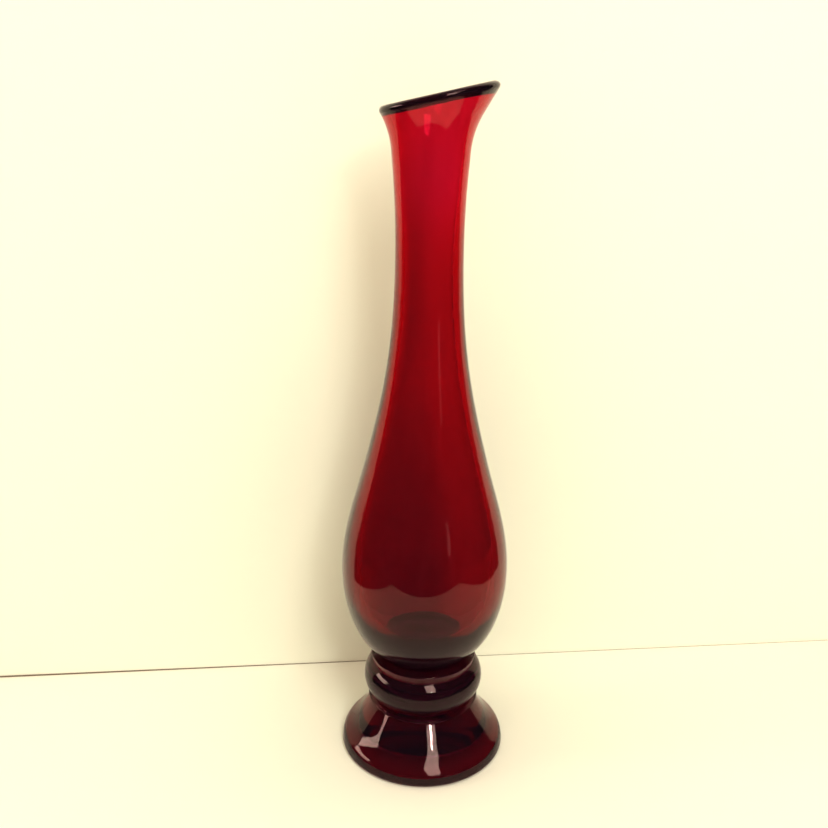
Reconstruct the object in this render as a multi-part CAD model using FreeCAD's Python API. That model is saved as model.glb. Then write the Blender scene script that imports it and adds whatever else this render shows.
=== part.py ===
import FreeCAD, Part
import math
import os

# Ruby glass bud vase with a slanted lip.  Millimetres, +Z up.
# Origin: level with the ring the foot stands on, on the axis the vase was turned about.
# The mouth rises towards +X.

V = FreeCAD.Vector

# ---- driving dimensions -------------------------------------------------------------
FOOT_RADIUS = 29.55         # widest point of the foot's rounded edge
FOOT_EDGE_ROUND = 1.4       # radius of the rounding up from the ring it stands on
DOME_RADIUS = 25.5          # hollow dome under the foot; the foot stands on the ring round it
DOME_DEPTH = 3.8
FLANGE_SHOULDER = (28.85, 4.1)  # (radius, height) where the edge rounds over
CONE = [(26.6, 6.4), (24.9, 8.1), (21.7, 12.4)]     # dished cone, from the flange up

LOWER_JOINT = (18.2, 17.6)  # where the foot's cone meets the lower disc
LOWER_EDGE = (19.9, 19.5)   # sharp upper edge of the lower disc
KNOP_BOTTOM = (17.6, 20.6)
KNOP_WIDEST = (21.25, 27.1)
KNOP_TOP = (18.2, 33.8)
UPPER_EDGE = (18.8, 36.7)   # sharp upper edge of the upper disc
BULB_BOTTOM = (15.8, 37.6)

# Outside of the blown body, from the bulb to where the neck starts to flare: (radius, height).
OUTSIDE = [
    (21.8, 44.0), (26.5, 54.0), (28.7, 69.0), (27.3, 84.0), (22.6, 102.0),
    (17.9, 120.0), (14.1, 138.0), (11.8, 156.0), (10.8, 180.0), (11.2, 197.0),
    (12.2, 210.5),
]
FLARE_BEND = (13.35, 215.9)
FLARE_END = (15.6, 220.9)   # straight-sided trumpet from here up
TRUMPET_TOP = (22.3, 232.1) # before it is cut off on the slant

CAVITY_FLOOR = 44.5         # height of the inside bottom of the bulb
# Wall of the blown body, measured level: (height, thickness).  It is thinnest in the neck.
WALL = [(50.0, 7.5), (69.0, 5.8), (100.0, 4.6), (138.0, 3.4), (190.0, 2.3)]

MOUTH_SLANT = math.radians(12.7)
MOUTH_HEIGHT = 223.8        # height of the joint under the lip, on the axis
LIP_LEFT = 14.0             # how far the middle of the bead reaches towards -X
LIP_RIGHT = 18.9            # and towards +X
LIP_DEPTH = 16.3            # and towards +Y and -Y
LIP_BASE = 1.16             # half the width of the bead where it is joined
LIP_BEAD_HEIGHT = 2.45      # how far its rounded top stands above the joint


# ---- helpers ------------------------------------------------------------------------
def at(point):
    """A (radius, height) pair as a point in the XZ half-plane."""
    radius, height = point
    return V(radius, 0, height)


def line(start, end):
    return Part.LineSegment(at(start), at(end)).toShape()


def arc(start, middle, end):
    return Part.Arc(at(start), at(middle), at(end)).toShape()


def curve(points):
    """Smooth curve through the points."""
    spline = Part.BSplineCurve()
    spline.interpolate([at(point) for point in points])
    return spline.toShape()


def turn(edges):
    """Turn a closed half-outline about Z into a solid."""
    outline = Part.Wire(edges)
    return Part.Face(outline).revolve(V(0, 0, 0), V(0, 0, 1), 360)


def wall_at(height):
    """Thickness of the blown wall, measured level, at a height above the heel."""
    for (low, low_wall), (high, high_wall) in zip(WALL, WALL[1:]):
        if height <= high:
            share = (height - low) / (high - low)
            return low_wall + share * (high_wall - low_wall)
    return WALL[-1][1]


# ---- sub-parts ----------------------------------------------------------------------
def dome():
    """The hollow under the foot, part of a sphere, from its middle down to its rim."""
    ball_radius = (DOME_RADIUS ** 2 + DOME_DEPTH ** 2) / (2 * DOME_DEPTH)
    halfway = DOME_RADIUS / 2
    height = DOME_DEPTH - ball_radius + math.sqrt(ball_radius ** 2 - halfway ** 2)
    return arc((0, DOME_DEPTH), (halfway, height), (DOME_RADIUS, 0))


def foot():
    """Spread foot: domed underside, rounded edge, and a cone rising to the lower disc."""
    stand_radius = FOOT_RADIUS - FOOT_EDGE_ROUND
    bulge = FOOT_EDGE_ROUND * math.sqrt(0.5)
    edge_low = (stand_radius + bulge, FOOT_EDGE_ROUND - bulge)
    edge_mid = (FOOT_RADIUS, FOOT_EDGE_ROUND)
    edges = [
        dome(),
        line((DOME_RADIUS, 0), (stand_radius, 0)),
        arc((stand_radius, 0), edge_low, edge_mid),
        curve([edge_mid, FLANGE_SHOULDER] + CONE + [LOWER_JOINT]),
        line(LOWER_JOINT, (0, LOWER_JOINT[1])),
        line((0, LOWER_JOINT[1]), (0, DOME_DEPTH)),
    ]
    return turn(edges)


def joining_disc(bottom, edge, top):
    """Flattened button of glass that joins two larger pieces, with a sharp upper edge."""
    swell = ((bottom[0] + edge[0]) / 2 + 0.05, (bottom[1] + edge[1]) / 2)
    edges = [
        line((0, bottom[1]), bottom),
        arc(bottom, swell, edge),
        line(edge, top),
        line(top, (0, top[1])),
        line((0, top[1]), (0, bottom[1])),
    ]
    return turn(edges)


def knop():
    """Solid round swelling in the stem."""
    edges = [
        line((0, KNOP_BOTTOM[1]), KNOP_BOTTOM),
        arc(KNOP_BOTTOM, KNOP_WIDEST, KNOP_TOP),
        line(KNOP_TOP, (0, KNOP_TOP[1])),
        line((0, KNOP_TOP[1]), (0, KNOP_BOTTOM[1])),
    ]
    return turn(edges)


def mouth_centre():
    """Middle of the slanted mouth, in the lip's middle plane."""
    x = (LIP_RIGHT - LIP_LEFT) / 2
    return V(x, 0, MOUTH_HEIGHT + x * math.tan(MOUTH_SLANT))


def lip_wrap():
    """Bead of glass on the slanted oval mouth: flat where it is joined, round on top."""
    across = V(math.cos(MOUTH_SLANT), 0, math.sin(MOUTH_SLANT))
    above = V(-math.sin(MOUTH_SLANT), 0, math.cos(MOUTH_SLANT))
    centre = mouth_centre()
    half_length = (LIP_LEFT + LIP_RIGHT) / 2 / math.cos(MOUTH_SLANT)
    oval = Part.Ellipse(
        centre + across * half_length,
        centre + V(0, LIP_DEPTH, 0),
        centre,
    )
    middle = centre + across * half_length
    inner = middle - across * LIP_BASE
    outer = middle + across * LIP_BASE
    crown = middle + above * LIP_BEAD_HEIGHT
    section = Part.Wire([
        Part.LineSegment(inner, outer).toShape(),
        Part.Arc(outer, crown, inner).toShape(),
    ])
    bead = Part.Wire([oval.toShape()]).makePipeShell([section], True, True)
    return Part.Solid(Part.Shell(bead.Faces))


def blown_body():
    """Hollow neck and bulb, cut off on the slant where the bead of the lip is laid on."""
    heel_height = WALL[0][0]
    walled = [point for point in OUTSIDE if point[1] > heel_height]
    inside = [(radius - wall_at(height), height) for radius, height in walled]
    trumpet = [FLARE_BEND, FLARE_END, TRUMPET_TOP]
    flare = [(radius - wall_at(height), height) for radius, height in trumpet]
    floor = [(0, CAVITY_FLOOR), (5.3, CAVITY_FLOOR + 0.35), (10.5, CAVITY_FLOOR + 1.5)]
    heel = (14.4, CAVITY_FLOOR + 3.8)
    edges = [
        line((0, BULB_BOTTOM[1]), BULB_BOTTOM),
        curve([BULB_BOTTOM] + OUTSIDE),
        arc(OUTSIDE[-1], FLARE_BEND, FLARE_END),
        line(FLARE_END, TRUMPET_TOP),
        line(TRUMPET_TOP, flare[2]),
        line(flare[2], flare[1]),
        arc(flare[1], flare[0], inside[-1]),
        curve(floor + [heel] + inside),
        line((0, CAVITY_FLOOR), (0, BULB_BOTTOM[1])),
    ]
    blown = turn(edges)
    shears = Part.makeBox(100, 100, 40, V(-50, -50, 0))
    shears.rotate(V(0, 0, 0), V(0, 1, 0), -math.degrees(MOUTH_SLANT))
    shears.translate(V(0, 0, MOUTH_HEIGHT))
    return blown.cut(shears)


# ---- build --------------------------------------------------------------------------
os.makedirs("parts", exist_ok=True)
pieces = {
    "foot": foot(),
    "lower_merese": joining_disc(LOWER_JOINT, LOWER_EDGE, KNOP_BOTTOM),
    "knop": knop(),
    "upper_merese": joining_disc(KNOP_TOP, UPPER_EDGE, BULB_BOTTOM),
    "blown_body": blown_body(),
    "lip_wrap": lip_wrap(),
}
for name, shape in pieces.items():
    shape.exportStep(f"parts/{name}.step")
    box = shape.BoundBox
    print(f"{name:14s} valid={shape.isValid()} solids={len(shape.Solids)}"
          f" volume={shape.Volume:9.1f} z={box.ZMin:7.2f}..{box.ZMax:7.2f}"
          f" x={box.XMin:7.2f}..{box.XMax:6.2f}")
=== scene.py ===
import math

import bpy
import numpy as np
from mathutils import Matrix, Vector


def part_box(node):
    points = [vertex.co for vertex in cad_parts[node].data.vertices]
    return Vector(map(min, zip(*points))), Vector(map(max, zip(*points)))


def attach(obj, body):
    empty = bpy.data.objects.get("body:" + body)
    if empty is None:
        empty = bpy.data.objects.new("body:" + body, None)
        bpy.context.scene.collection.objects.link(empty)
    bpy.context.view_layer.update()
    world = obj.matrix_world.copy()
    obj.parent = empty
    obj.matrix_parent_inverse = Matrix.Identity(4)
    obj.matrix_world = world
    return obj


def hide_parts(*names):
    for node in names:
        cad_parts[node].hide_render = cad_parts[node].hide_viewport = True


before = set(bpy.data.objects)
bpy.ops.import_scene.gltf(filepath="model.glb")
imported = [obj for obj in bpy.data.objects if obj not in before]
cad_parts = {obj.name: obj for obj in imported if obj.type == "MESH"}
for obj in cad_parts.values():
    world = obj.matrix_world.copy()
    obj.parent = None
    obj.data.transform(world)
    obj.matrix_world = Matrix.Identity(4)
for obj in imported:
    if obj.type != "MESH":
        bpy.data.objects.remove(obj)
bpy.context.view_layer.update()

# Ruby glass bud vase with a slanted lip.  Outlines are in millimetres, as (radius, height)
# pairs about the axis of the vase, and become metres when a mesh is made.
MM = 0.001


# ---- sizes read from the CAD ------------------------------------------------------------
def reach(node):
    """Lowest height, highest height and greatest half width of a CAD node, in mm."""
    low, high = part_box(node)
    return low.z / MM, high.z / MM, (high.y - low.y) / 2 / MM


_, FOOT_TOP, _ = reach("foot")
DISC_BOTTOM, KNOP_BOTTOM, _ = reach("lower_merese")
_, KNOP_TOP, KNOP_RADIUS = reach("knop")
_, BULB_BOTTOM, COLLAR_RADIUS = reach("upper_merese")

# ---- sizes set here ---------------------------------------------------------------------
SEGMENTS = 192              # points round every ring
STEP = 0.8                  # usual spacing of the rings along an outline
CLOSE_STEP = 0.4            # on the cone and the knop
EDGE_STEP = 0.3             # on the rounded edge of the foot
DISC_STEP = 0.25            # on the discs
JOINT_STEP = 2              # across the flat faces of the hot joints
TRUMPET_RINGS = 10          # from the end of the flare to the cut
CUT_RINGS = 3               # across the cut, between its two edges
JOINT_GAP = 0.01            # how far each piece stands back from a hot joint
CREASE = math.radians(35)   # edges sharper than this are shaded as edges
LEAST_ARC_PARTS = 4
ROUND_PARTS = 6             # of the small round on a disc's edge
SAME_POINT = 1e-6           # points closer than this are one
PARALLEL = 0.99             # least product of two normals that count as parallel

FOOT_RADIUS = 29.5
FOOT_EDGE_ROUND = 1.4
DOME_RADIUS = 25.5          # hollow dome under the foot
DOME_DEPTH = 3.8
FLANGE_SHOULDER = (28.8, 4.1)
CONE = [(26.6, 6.4), (24.9, 8.1), (21.7, 12.4)]
CONE_TOP_RADIUS = 18.2

LOWER_EDGE = (19.9, 19.5)   # sharp upper edge of the lower disc
KNOP_BOTTOM_RADIUS = 17.6
KNOP_WIDEST = (KNOP_RADIUS, 27.1)
KNOP_TOP_RADIUS = 18.2
UPPER_EDGE = (COLLAR_RADIUS, 36.7)
DISC_SWELL = 0.05           # how far a disc's side bulges
DISC_EDGE_ROUND = 0.35      # how far the melted edge reaches along both sides

BULB_BOTTOM_RADIUS = 15.8
OUTSIDE = [
    (21.8, 44.0), (26.5, 54.0), (28.7, 69.0), (27.3, 84.0), (22.6, 102.0),
    (17.9, 120.0), (14.1, 138.0), (11.8, 156.0), (10.8, 180.0), (11.2, 197.0),
    (12.2, 210.5),
]
FLARE_BEND = (13.35, 215.9)
FLARE_END = (15.6, 220.9)   # straight-sided trumpet from here up
TRUMPET_TOP = (22.3, 232.1)  # before it is cut off on the slant
CAVITY_FLOOR = [(0, 44.5), (5.3, 44.85), (10.5, 46.0), (14.4, 48.3)]
# Wall of the blown body, measured level: (height, thickness).
WALL = [
    (50.0, 7.5), (69.0, 5.8), (100.0, 4.6), (138.0, 3.6), (165.0, 3.5), (190.0, 2.5),
    (200.0, 1.9), (215, 2.2), (225, 2.7),
]

MOUTH_SLANT = math.radians(12.7)
MOUTH_TILT = math.tan(MOUTH_SLANT)
MOUTH_HEIGHT = 223.8        # height of the slanted cut, on the axis
BEAD_HEIGHT = 2.4           # how far the top of the lip's bead stands above the cut
BEAD_WAIST = 0.92           # height of the bead's widest part above the cut
BEAD_BASE_LINES = 7         # lines of points across the bead's flat base, and over its crown
BEAD_CROWN_LINES = 21

# Unevenness of the glass: {waves round the axis: height in mm}.
STEM_WAVES = {2: 0.05, 3: 0.04, 5: 0.02}
KNOP_WAVES = {2: 0.06, 3: 0.05, 5: 0.03}
OUTER_WAVES = {1: 0.05, 2: 0.10, 3: 0.05, 5: 0.03, 9: 0.012}
INNER_WAVES = {1: 0.25, 2: 0.15, 3: 0.10, 5: 0.06, 9: 0.03, 14: 0.015}
WAVES_OF_EACH = 3
WAVE_LENGTHS = (60, 220)    # along the axis, in mm
WAVE_MARGIN = 0.1           # taken off the solid pieces, to keep them in the CAD's box
WAVE_START = 8              # the body's waves grow to full over this height and this radius


# ---- outlines ---------------------------------------------------------------------------
def smooth(points, step=STEP):
    """Points about a step apart on the natural cubic spline through the given ones."""
    knots = np.array(points, float)
    chord = np.hypot(*np.diff(knots, axis=0).T)
    slopes = np.diff(knots, axis=0) / chord[:, None]
    count = len(knots)
    system = np.eye(count)
    known = np.zeros((count, 2))
    for i in range(1, count - 1):
        before, after = chord[i - 1], chord[i]
        system[i, i - 1:i + 2] = before, 2 * (before + after), after
        known[i] = 6 * (slopes[i] - slopes[i - 1])
    bend = np.linalg.solve(system, known)
    found = [knots[:1]]
    for i, length in enumerate(chord):
        parts = max(1, round(length / step))
        b = np.arange(1, parts + 1)[:, None] / parts
        a = 1 - b
        curl = ((a**3 - a) * bend[i] + (b**3 - b) * bend[i + 1]) * length**2 / 6
        found.append(a * knots[i] + b * knots[i + 1] + curl)
    return np.concatenate(found)


def arc(start, middle, end, step=STEP):
    """Points about a step apart on the circle through three points."""
    a, b, c = (complex(*point) for point in (start, middle, end))
    w = (c - a) / (b - a)
    centre = a + (b - a) * (w - abs(w) ** 2) / (2j * w.imag)
    radius = abs(a - centre)
    first = np.angle(a - centre)
    turn_b = np.angle((b - centre) / (a - centre)) % (2 * np.pi)
    turn_c = np.angle((c - centre) / (a - centre)) % (2 * np.pi)
    sweep = turn_c if turn_b < turn_c else turn_c - 2 * np.pi
    parts = max(LEAST_ARC_PARTS, round(abs(sweep) * radius / step))
    angles = first + sweep * np.linspace(0, 1, parts + 1)
    points = centre + radius * np.exp(1j * angles)
    return np.stack([points.real, points.imag], axis=1)


def straight(start, end, step=STEP):
    """Points about a step apart on a straight line."""
    parts = max(1, round(math.dist(start, end) / step))
    share = np.linspace(0, 1, parts + 1)[:, None]
    return (1 - share) * np.array(start, float) + share * np.array(end, float)


def rounded(corner, towards, away, size):
    """A small round in place of a sharp corner, tangent to both sides."""
    corner, towards, away = (np.array(p, float) for p in (corner, towards, away))
    first = corner + (towards - corner) * size / math.dist(corner, towards)
    last = corner + (away - corner) * size / math.dist(corner, away)
    share = np.linspace(0, 1, ROUND_PARTS + 1)[:, None]
    return (1 - share) ** 2 * first + 2 * share * (1 - share) * corner + share**2 * last


def chain(*stretches):
    """One outline from stretches that follow each other, without repeated points."""
    points = np.concatenate(stretches)
    apart = np.hypot(*np.diff(points, axis=0).T) > SAME_POINT
    return points[np.concatenate([[True], apart])]


# ---- meshes -----------------------------------------------------------------------------
ANGLES = np.arange(SEGMENTS) * 2 * np.pi / SEGMENTS


def waves(seed, sizes):
    """A smooth unevenness in mm, as a function of the angle and the height."""
    rng = np.random.default_rng(seed)
    terms = []
    for turns, size in sizes.items():
        for _ in range(WAVES_OF_EACH):
            length = rng.uniform(*WAVE_LENGTHS)
            twist = rng.uniform(-1, 1) / length
            start = rng.uniform(0, 1)
            terms.append((turns, twist, start, size / WAVES_OF_EACH))

    def uneven(angle, height):
        total = 0
        for turns, twist, start, size in terms:
            total = total + size * np.cos(turns * angle + 2 * np.pi * (twist * height + start))
        return total

    return uneven


def mesh_object(name, points, faces):
    """An object with smooth shading, from points in mm."""
    mesh = bpy.data.meshes.new(name)
    mesh.from_pydata((np.asarray(points) * MM).tolist(), [], faces)
    mesh.polygons.foreach_set("use_smooth", [True] * len(mesh.polygons))
    mesh.set_sharp_from_angle(angle=CREASE)
    piece = bpy.data.objects.new(name, mesh)
    bpy.context.scene.collection.objects.link(piece)
    return piece


def band(first, second):
    """Faces between two rings, each given by the number of its first point."""
    faces = []
    for i in range(SEGMENTS):
        j = (i + 1) % SEGMENTS
        faces.append((first + i, first + j, second + j, second + i))
    return faces


def turned(name, radii, heights):
    """A closed piece from (rings, SEGMENTS) grids whose first and last rings are on the axis."""
    grid = np.stack([radii * np.cos(ANGLES), radii * np.sin(ANGLES), heights], axis=-1)
    rings = grid[1:-1].reshape(-1, 3)
    ends = [(0, 0, heights[0].mean()), (0, 0, heights[-1].mean())]
    points = np.concatenate([rings, ends])
    start, end = len(rings), len(rings) + 1
    last = start - SEGMENTS
    faces = []
    for first in range(0, last, SEGMENTS):
        faces += band(first, first + SEGMENTS)
    for i in range(SEGMENTS):
        j = (i + 1) % SEGMENTS
        faces.append((start, j, i))
        faces.append((last + i, last + j, end))
    return mesh_object(name, points, faces)


def ringed(outline):
    """Grids of radii and heights with one ring for each point of an outline."""
    return [np.repeat(outline[:, i:i + 1], SEGMENTS, axis=1) for i in (0, 1)]


def stacked(*pairs):
    """One pair of grids, radii and heights, from pairs that follow each other."""
    return [np.concatenate(grids) for grids in zip(*pairs)]


def turned_outline(name, outline, uneven):
    """Turns an outline that starts and ends on the axis, and scales it by its unevenness."""
    radii, heights = ringed(outline)
    change = uneven(ANGLES[None, :], heights) - WAVE_MARGIN
    return turned(name, radii * (1 + change / KNOP_RADIUS), heights)


def level(height):
    """A level plane, as a point and a normal."""
    return Vector((0, 0, height)), Vector((0, 0, 1))


MOUTH_PLANE = (
    Vector((0, 0, MOUTH_HEIGHT)),
    Vector((-math.sin(MOUTH_SLANT), 0, math.cos(MOUTH_SLANT))),
)


def lies_on(face, plane):
    """Whether a face lies on a plane, to within the gap of a joint and a few degrees."""
    point, normal = plane
    distance = abs((face.center / MM - point).dot(normal))
    return distance < 2 * JOINT_GAP and abs(face.normal.dot(normal)) > PARALLEL


def mark_joints(piece, planes):
    """Marks the faces that were joined hot to another piece, for the glass to leave unseen."""
    faces = piece.data.polygons
    marks = [float(any(lies_on(face, plane) for plane in planes)) for face in faces]
    mask = piece.data.attributes.new("joint", "FLOAT", "FACE")
    mask.data.foreach_set("value", marks)


# ---- foot, discs and knop ---------------------------------------------------------------
def dome():
    """The hollow under the foot, part of a sphere, from its middle down to its rim."""
    ball_radius = (DOME_RADIUS**2 + DOME_DEPTH**2) / (2 * DOME_DEPTH)
    halfway = DOME_RADIUS / 2
    height = DOME_DEPTH - ball_radius + math.sqrt(ball_radius**2 - halfway**2)
    return arc((0, DOME_DEPTH), (halfway, height), (DOME_RADIUS, 0))


def foot():
    """Spread foot: domed underside, rounded edge, and a cone rising to the lower disc."""
    stand_radius = FOOT_RADIUS - FOOT_EDGE_ROUND
    bulge = FOOT_EDGE_ROUND * math.sqrt(0.5)
    edge_low = (stand_radius + bulge, FOOT_EDGE_ROUND - bulge)
    edge_mid = (FOOT_RADIUS, FOOT_EDGE_ROUND)
    top = FOOT_TOP - JOINT_GAP
    outline = chain(
        dome(),
        straight((DOME_RADIUS, 0), (stand_radius, 0)),
        arc((stand_radius, 0), edge_low, edge_mid, EDGE_STEP),
        smooth([edge_mid, FLANGE_SHOULDER] + CONE + [(CONE_TOP_RADIUS, top)], CLOSE_STEP),
        straight((CONE_TOP_RADIUS, top), (0, top), JOINT_STEP),
    )
    piece = turned_outline("foot_glass", outline, waves(11, STEM_WAVES))
    mark_joints(piece, [level(top)])
    return piece


def disc(name, bottom, edge, top, seed):
    """Button of glass between two larger pieces, with a slightly melted upper edge."""
    low, high = bottom[1] + JOINT_GAP, top[1] - JOINT_GAP
    swell = ((bottom[0] + edge[0]) / 2 + DISC_SWELL, (low + edge[1]) / 2)
    # The round stands in for the edge and the next point above it.  It starts about 0.1 mm
    # below the last point that is kept of the side, so the outline doubles back there.
    outline = chain(
        straight((0, low), (bottom[0], low), JOINT_STEP),
        arc((bottom[0], low), swell, edge, DISC_STEP)[:-1],
        rounded(edge, swell, top, DISC_EDGE_ROUND),
        straight(edge, (top[0], high), DISC_STEP)[2:],
        straight((top[0], high), (0, high), JOINT_STEP),
    )
    piece = turned_outline(name, outline, waves(seed, STEM_WAVES))
    mark_joints(piece, [level(low), level(high)])
    return piece


def lower_disc():
    bottom = (CONE_TOP_RADIUS, DISC_BOTTOM)
    top = (KNOP_BOTTOM_RADIUS, KNOP_BOTTOM)
    return disc("lower_disc_glass", bottom, LOWER_EDGE, top, 12)


def knop():
    """Solid ball of glass in the stem."""
    low, high = KNOP_BOTTOM + JOINT_GAP, KNOP_TOP - JOINT_GAP
    outline = chain(
        straight((0, low), (KNOP_BOTTOM_RADIUS, low), JOINT_STEP),
        arc((KNOP_BOTTOM_RADIUS, low), KNOP_WIDEST, (KNOP_TOP_RADIUS, high), CLOSE_STEP),
        straight((KNOP_TOP_RADIUS, high), (0, high), JOINT_STEP),
    )
    piece = turned_outline("knop_glass", outline, waves(13, KNOP_WAVES))
    mark_joints(piece, [level(low), level(high)])
    return piece


def upper_disc():
    bottom = (KNOP_TOP_RADIUS, KNOP_TOP)
    top = (BULB_BOTTOM_RADIUS, BULB_BOTTOM)
    return disc("upper_disc_glass", bottom, UPPER_EDGE, top, 14)


# ---- blown body and lip -----------------------------------------------------------------
def inner_points(points):
    """Points of the inside, level with points of the outside."""
    heights, walls = zip(*WALL)
    return [(radius - np.interp(height, heights, walls), height) for radius, height in points]


def cut_heights(radii, above):
    """Heights of points round the slanted cut, or of points this far above it."""
    return MOUTH_HEIGHT + above + radii * np.cos(ANGLES) * MOUTH_TILT


def trumpet(start, top):
    """Grids of the straight-sided trumpet, from its start to the cut.

    Within 34 degrees of the mouth's low side the cut is below the start.  There the rings come
    back down, and the end of the flare is left standing up to 0.6 mm past the cut."""
    slope = (top[0] - start[0]) / (top[1] - start[1])
    rise = MOUTH_HEIGHT - JOINT_GAP - start[1]
    # The radius at which the trumpet meets the slanted cut, at each angle.
    rim = (start[0] + rise * slope) / (1 - slope * np.cos(ANGLES) * MOUTH_TILT)
    share = np.linspace(0, 1, TRUMPET_RINGS + 1)[1:, None]
    heights = start[1] + share * (cut_heights(rim, -JOINT_GAP) - start[1])
    return start[0] + (heights - start[1]) * slope, heights


def wave_share(radii, heights):
    """How much of the waves is felt: none at the foot of the bulb or on the axis."""
    share = np.clip((heights - BULB_BOTTOM) / WAVE_START, 0, 1)
    return share * share * (3 - 2 * share) * np.clip(radii / WAVE_START, 0, 1)


def wall_side(outline, flare_end, trumpet_top, uneven):
    """Grids of one side of the wall, from the bottom of the bulb to the cut."""
    radii, heights = stacked(ringed(outline), trumpet(flare_end, trumpet_top))
    radii = radii + uneven(ANGLES[None, :], heights) * wave_share(radii, heights)
    # The waves moved the rim off the cut by a hair.  This puts it back.
    heights[-1] = cut_heights(radii[-1], -JOINT_GAP)
    return radii, heights


def outer_side(low):
    """The outside of the wall, without the point where it meets the base."""
    bulb_and_neck = smooth([(BULB_BOTTOM_RADIUS, low)] + OUTSIDE)
    outline = chain(bulb_and_neck, arc(OUTSIDE[-1], FLARE_BEND, FLARE_END))
    return wall_side(outline[1:], FLARE_END, TRUMPET_TOP, waves(21, OUTER_WAVES))


def inner_side():
    """The inside of the wall, from the middle of the cavity's floor."""
    lowest = WALL[0][0]
    walled = inner_points([point for point in OUTSIDE if point[1] > lowest])
    bend, flare_end, trumpet_top = inner_points([FLARE_BEND, FLARE_END, TRUMPET_TOP])
    outline = chain(smooth(CAVITY_FLOOR + walled), arc(walled[-1], bend, flare_end))
    return wall_side(outline, flare_end, trumpet_top, waves(22, INNER_WAVES))


def body_and_lip():
    """The blown body, and the bead that is laid on the cut at its mouth."""
    low = BULB_BOTTOM + JOINT_GAP
    base = ringed(straight((0, low), (BULB_BOTTOM_RADIUS, low), JOINT_STEP))
    outer, inner = outer_side(low), inner_side()
    outer_rim, inner_rim = outer[0][-1], inner[0][-1]
    across = np.linspace(0, 1, CUT_RINGS + 2)[1:-1, None]
    cut_radii = (1 - across) * outer_rim + across * inner_rim
    cut = cut_radii, cut_heights(cut_radii, -JOINT_GAP)
    down_inside = [grid[::-1] for grid in inner]
    body = turned("blown_glass", *stacked(base, outer, cut, down_inside))
    mark_joints(body, [level(low), MOUTH_PLANE])
    return body, bead(outer_rim, inner_rim)


def bead(outer_rim, inner_rim):
    """Round bead on the cut: a closed ring whose base covers the end of the wall."""
    def on_cut(rim):
        x, y = rim * np.cos(ANGLES), rim * np.sin(ANGLES)
        return np.stack([x, y, cut_heights(rim, JOINT_GAP)], axis=-1)

    outside, inside = on_cut(outer_rim), on_cut(inner_rim)
    middle = (outside + inside) / 2
    half = (outside - inside) / 2
    above = np.array(MOUTH_PLANE[1])
    round_height = BEAD_HEIGHT - BEAD_WAIST
    dip = math.asin(BEAD_WAIST / round_height)
    widen = 1 / math.cos(dip)
    lines = [middle + share * half for share in np.linspace(-1, 1, BEAD_BASE_LINES)]
    for turn in np.linspace(-dip, math.pi + dip, BEAD_CROWN_LINES + 2)[1:-1]:
        rise = BEAD_WAIST + round_height * math.sin(turn)
        lines.append(middle + widen * math.cos(turn) * half + rise * above)
    faces = []
    for line in range(len(lines)):
        following = (line + 1) % len(lines)
        faces += band(line * SEGMENTS, following * SEGMENTS)
    piece = mesh_object("lip_glass_bead", np.concatenate(lines), faces)
    mark_joints(piece, [MOUTH_PLANE])
    return piece


# ---- material helpers -------------------------------------------------------------------
def add(tree, kind, **inputs):
    """A node of a kind, with its inputs set by name."""
    node = tree.nodes.new(kind)
    for name, value in inputs.items():
        node.inputs[name.replace("_", " ")].default_value = value
    return node


def streaks(tree, position, round_scale, along_scale, detail):
    """Noise drawn out along the axis, as the glass was.  The scales are per metre."""
    stretch = tree.nodes.new("ShaderNodeVectorMath")
    stretch.operation = "MULTIPLY"
    stretch.inputs[1].default_value = (round_scale, round_scale, along_scale)
    tree.links.new(position, stretch.inputs[0])
    noise = add(tree, "ShaderNodeTexNoise", Scale=1.0, Detail=detail, Roughness=0.55)
    tree.links.new(stretch.outputs["Vector"], noise.inputs["Vector"])
    return noise.outputs["Fac"]


def ranged(tree, value, low, high, start=0.0, end=1.0):
    """The value's stretch from start to end, spread from low to high."""
    node = add(tree, "ShaderNodeMapRange", From_Min=start, From_Max=end, To_Min=low, To_Max=high)
    tree.links.new(value, node.inputs["Value"])
    return node.outputs["Result"]


def combined(tree, operation, first, second):
    """Two values, each a number or a node's output, put through a maths operation."""
    node = tree.nodes.new("ShaderNodeMath")
    node.operation = operation
    for socket, value in zip(node.inputs, (first, second)):
        if isinstance(value, (int, float)):
            socket.default_value = value
        else:
            tree.links.new(value, socket)
    return node.outputs["Value"]


# ---- materials --------------------------------------------------------------------------
GLASS_INDEX = 1.5
NO_BENDING = 1.0            # index where two pieces were joined hot
CLEARNESS = 0.990           # the rest is a faint haze, in the two colours below
SHINE = 0.40                # of the reflections, where the shader's usual is 0.5
SHINE_TINT = (1.0, 0.72, 0.66, 1)
BLUE_PASSED = 0.22
CLEAR_COLOUR = (0.96, 0.40, 0.90, 1)
CORD_COLOUR = (0.88, 0.30, 0.78, 1)
PIT_SCALE = 170             # cells to the metre, with a pit somewhere in each
PIT_RADIUS = 0.07           # as a share of a cell
PIT_DEPTH = 0.6             # where the draw lines are 1
SWELL_HEIGHT = 2.2          # where the draw lines are 1
SPECK_RADIUS = 0.05         # of the rough middle of a pit, as a share of a cell
SPECK_ROUGHNESS = 0.25


def relief(tree, position, to_pit, open_skin, ripple):
    """Normals with draw lines, a slow swell and pits."""
    draw_lines = streaks(tree, position, round_scale=420, along_scale=9, detail=3)
    swell = streaks(tree, position, round_scale=90, along_scale=30, detail=2)
    pit = ranged(tree, to_pit, PIT_DEPTH, 0.0, end=PIT_RADIUS)
    height = combined(tree, "ADD", draw_lines, combined(tree, "MULTIPLY", swell, SWELL_HEIGHT))
    height = combined(tree, "SUBTRACT", height, pit)
    bump = add(tree, "ShaderNodeBump", Distance=ripple * MM)
    tree.links.new(combined(tree, "MULTIPLY", height, open_skin), bump.inputs["Height"])
    return bump.outputs["Normal"]


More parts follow.
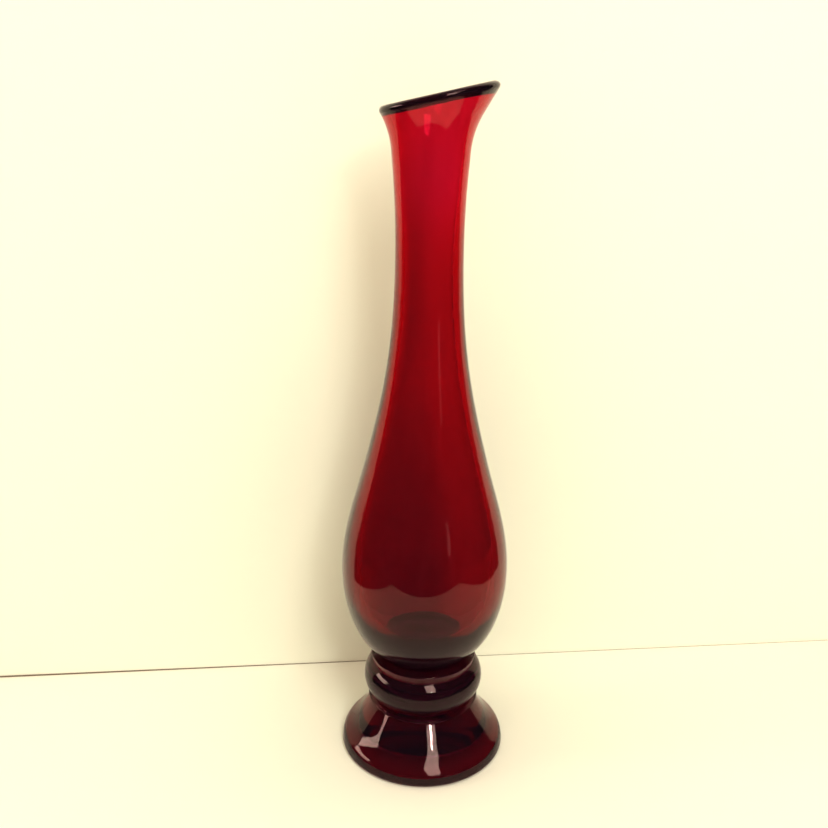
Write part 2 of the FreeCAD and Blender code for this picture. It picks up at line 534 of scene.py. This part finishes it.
def roughness(tree, position, to_pit, open_skin, haze):
    """Polished, apart from smudges and the middles of the pits."""
    patches = streaks(tree, position, round_scale=55, along_scale=40, detail=6)
    smudge = ranged(tree, patches, 0.0, haze, start=0.48, end=0.72)
    speck = ranged(tree, to_pit, SPECK_ROUGHNESS, 0.0, end=SPECK_RADIUS)
    return combined(tree, "MULTIPLY", combined(tree, "ADD", smudge, speck), open_skin)


def cord_colour(tree, position, open_skin):
    """Faint darker cords, drawn out along the axis."""
    cords = tree.nodes.new("ShaderNodeMix")
    cords.data_type = "RGBA"
    cords.inputs["A"].default_value = CLEAR_COLOUR
    cords.inputs["B"].default_value = CORD_COLOUR
    lines = streaks(tree, position, round_scale=160, along_scale=14, detail=4)
    cord = combined(tree, "MULTIPLY", lines, open_skin)
    tree.links.new(ranged(tree, cord, 0, 1, start=0.45, end=0.75), cords.inputs["Factor"])
    return cords.outputs["Result"]


def ruby(name, density, red, ripple, haze):
    """Ruby glass, with its colour in its depth and the marks of its making on its skin.

    Density is the depth of its colour, red the share of red light that passes, ripple the
    height of the draw lines in mm, and haze the roughness of the smudges."""
    material = bpy.data.materials.new(name)
    material.use_nodes = True
    tree = material.node_tree
    shader = tree.nodes["Principled BSDF"]
    shader.inputs["Transmission Weight"].default_value = CLEARNESS
    shader.inputs["Specular IOR Level"].default_value = SHINE
    shader.inputs["Specular Tint"].default_value = SHINE_TINT
    tint = (red, 0.0, BLUE_PASSED, 1)
    depth = add(tree, "ShaderNodeVolumeAbsorption", Density=density, Color=tint)
    tree.links.new(depth.outputs["Volume"], tree.nodes["Material Output"].inputs["Volume"])

    joint = tree.nodes.new("ShaderNodeAttribute")
    joint.attribute_name = "joint"
    index = ranged(tree, joint.outputs["Fac"], GLASS_INDEX, NO_BENDING)
    open_skin = ranged(tree, joint.outputs["Fac"], 1.0, 0.0)
    position = tree.nodes.new("ShaderNodeTexCoord").outputs["Object"]
    pits = add(tree, "ShaderNodeTexVoronoi", Scale=PIT_SCALE)
    tree.links.new(position, pits.inputs["Vector"])
    to_pit = pits.outputs["Distance"]
    skin = {
        "IOR": index,
        "Normal": relief(tree, position, to_pit, open_skin, ripple),
        "Roughness": roughness(tree, position, to_pit, open_skin, haze),
        "Base Color": cord_colour(tree, position, open_skin),
    }
    for socket, value in skin.items():
        tree.links.new(value, shader.inputs[socket])
    return material


def paper(name, colour, one_sided=False):
    """Matt paper.  One-sided paper is clear when it is seen from its back."""
    material = bpy.data.materials.new(name)
    material.use_nodes = True
    tree = material.node_tree
    shader = tree.nodes["Principled BSDF"]
    shader.inputs["Base Color"].default_value = (*colour, 1)
    shader.inputs["Roughness"].default_value = 0.9
    shader.inputs["Specular IOR Level"].default_value = 0.2
    if one_sided:
        clear = tree.nodes.new("ShaderNodeBsdfTransparent")
        side = tree.nodes.new("ShaderNodeNewGeometry")
        mix = tree.nodes.new("ShaderNodeMixShader")
        tree.links.new(side.outputs["Backfacing"], mix.inputs["Fac"])
        tree.links.new(shader.outputs["BSDF"], mix.inputs[1])
        tree.links.new(clear.outputs["BSDF"], mix.inputs[2])
        tree.links.new(mix.outputs["Shader"], tree.nodes["Material Output"].inputs["Surface"])
    return material


# ---- assembly ---------------------------------------------------------------------------
blown, lip = body_and_lip()
pieces = {
    "foot": (foot(), "stem_glass"),
    "lower_merese": (lower_disc(), "stem_glass"),
    "knop": (knop(), "stem_glass"),
    "upper_merese": (upper_disc(), "stem_glass"),
    "blown_body": (blown, "body_glass"),
    "lip_wrap": (lip, "lip_glass"),
}
materials = {
    "body_glass": ruby("ruby_body", density=990, red=0.895, ripple=0.035, haze=0.03),
    "stem_glass": ruby("ruby_stem", density=990, red=0.94, ripple=0.02, haze=0.02),
    "lip_glass": ruby("ruby_lip", density=12000, red=0.895, ripple=0.02, haze=0.02),
}
for node, (piece, slot) in pieces.items():
    piece.data.materials.append(materials[slot])
    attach(piece, "root")
    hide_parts(node)


# ---- stage, in metres -------------------------------------------------------------------
WALL_Y = 0.0505             # where the wall stands behind the middle of the vase
WALL_SLOPE = math.tan(math.radians(6.5))
PAPER_LIFT = 0.0001         # between two sheets of paper, one in front of the other
EDGE_LIFT = 0.0003          # of the strip of painted shade in front of the wall
TABLE_PAPER = paper("pale_paper", (0.86, 0.87, 0.76))
WALL_PAPER = paper("pale_paper_wall", (0.86, 0.88, 0.76), one_sided=True)
# Colour of the strip of painted shade at the foot of the wall, for the shadow in the crack
# between wall and table.
PAINTED_SEAM_SHADE = paper("seam_shade_paint", (0.22, 0.17, 0.12))


def sheet(name, corners, material):
    """A flat piece of the stage."""
    mesh = bpy.data.meshes.new(name)
    mesh.from_pydata(corners, [], [(0, 1, 2, 3)])
    mesh.materials.append(material)
    board = bpy.data.objects.new(name, mesh)
    bpy.context.scene.collection.objects.link(board)
    return board


def upright_sheet(name, left, right, forward, material):
    """Sheet along the wall, from the table up: left and right are (x, height)."""
    low, high = [], []
    for x, height in (left, right):
        y = WALL_Y - forward + x * WALL_SLOPE
        low.append((x, y, 0))
        high.append((x, y, height))
    return sheet(name, low + high[::-1], material)


def table_sheet(name, left, right, front, back, height):
    """Level sheet of the table's paper."""
    corners = [(left, front), (right, front), (right, back), (left, back)]
    return sheet(name, [(*corner, height) for corner in corners], TABLE_PAPER)


# The far sheets fill the picture.  The glass doesn't mirror them, and they aren't seen
# through it.
upright_sheet("near_wall", (-0.155, 0.5), (0.165, 0.5), PAPER_LIFT, WALL_PAPER)
table_sheet("near_table", -0.17, 0.20, -0.20, 0.3, -PAPER_LIFT)
backdrop = upright_sheet("backdrop", (-0.8, 1.2), (0.8, 1.2), 0, WALL_PAPER)
floor = table_sheet("floor", -3, 3, -3, 3, -2 * PAPER_LIFT)
floor.visible_shadow = False
for far in (backdrop, floor):
    far.visible_glossy = False
    far.visible_transmission = False

# Painted shade where the wall meets the table: a dark strip standing for the shadow in the crack
# between them, lower towards the right.
edge_heights = [(-0.25, 0.0008), (0.0, 0.00015), (0.3, 0.00006)]
for left, right in zip(edge_heights, edge_heights[1:]):
    upright_sheet("painted_seam_shadow", left, right, EDGE_LIFT, PAINTED_SEAM_SHADE)


# ---- lights -----------------------------------------------------------------------------
LAMP_TARGET = Vector((0, 0, 0.05))


def aimed(azimuth, elevation, distance):
    """Place and turn of a lamp: azimuth 0 is in front of the vase, positive to the right."""
    a, e = math.radians(azimuth), math.radians(elevation)
    back = Vector((math.sin(a) * math.cos(e), -math.cos(a) * math.cos(e), math.sin(e)))
    place = LAMP_TARGET + back * distance
    return Matrix.Translation(place) @ back.to_track_quat("Z", "Y").to_matrix().to_4x4()


def panel(name, azimuth, elevation, distance, size, radiance, colour):
    """A softbox that the glass mirrors.  Radiance is how bright its face looks."""
    light = bpy.data.lights.new(name, "AREA")
    light.shape = "RECTANGLE"
    light.size, light.size_y = size
    light.color = colour
    light.energy = radiance * math.pi * size[0] * size[1]
    lamp = bpy.data.objects.new(name, light)
    bpy.context.scene.collection.objects.link(lamp)
    lamp.matrix_world = aimed(azimuth, elevation, distance)
    lamp.visible_transmission = False


# Name, azimuth, elevation, distance, width and height, radiance, colour.
panel("window_right", 19, 44.5, 1.5, (0.42, 0.94), 8.0, (1.0, 0.99, 0.92))
panel("sun_patch", 18, 28.8, 1.40, (0.10, 0.05), 60, (0.95, 1.0, 1.0))
panel("window_head", 12, 69, 1.6, (1.1, 0.15), 5, (1.0, 0.90, 0.82))
panel("window_left", -91, 20.8, 1.2, (0.62, 0.27), 8, (1.0, 0.96, 0.86))
panel("door_gap", 34, 3, 1.5, (0.10, 0.22), 1.2, (1.0, 0.85, 0.82))

ROOM_COLOUR = (1.0, 0.80, 0.68, 1)
ROOM_DIM = 0.03             # how bright the room is for every kind of ray, mirrored ones too
ROOM_EXTRA = {
    "Is Diffuse Ray": 0.90,         # soft fill on the paper
    "Is Camera Ray": 0.5,           # beyond the stage
    "Is Transmission Ray": 0.08,    # through the glass
}


def room():
    """The room round the stage, of a different brightness for each kind of ray."""
    world = bpy.data.worlds.new("room")
    bpy.context.scene.world = world
    world.use_nodes = True
    tree = world.node_tree
    ray = tree.nodes.new("ShaderNodeLightPath")
    strength = ROOM_DIM
    for kind, extra in ROOM_EXTRA.items():
        share = combined(tree, "MULTIPLY", ray.outputs[kind], extra)
        strength = combined(tree, "ADD", strength, share)
    background = tree.nodes["Background"]
    background.inputs["Color"].default_value = ROOM_COLOUR
    tree.links.new(strength, background.inputs["Strength"])


room()

# ---- camera -----------------------------------------------------------------------------
CAMERA_PLACE = (0, -0.2981, 0.226)
PAN_LEFT = math.radians(0.82)
TILT_DOWN = math.radians(18.56)
ROLL = math.radians(0.63)

camera_data = bpy.data.cameras.new("camera")
camera_data.sensor_width = 36
camera_data.lens = 41.304
camera_data.clip_start = 0.01
camera = bpy.data.objects.new("camera", camera_data)
bpy.context.scene.collection.objects.link(camera)
camera.matrix_world = (
    Matrix.Translation(CAMERA_PLACE)
    @ Matrix.Rotation(PAN_LEFT, 4, "Z")
    @ Matrix.Rotation(math.pi / 2 - TILT_DOWN, 4, "X")
    @ Matrix.Rotation(ROLL, 4, "Z")
)
bpy.context.scene.camera = camera
bpy.context.scene.view_settings.view_transform = "Standard"
bpy.context.scene.view_settings.gamma = 0.8     # deepens the darks and leaves white as it is
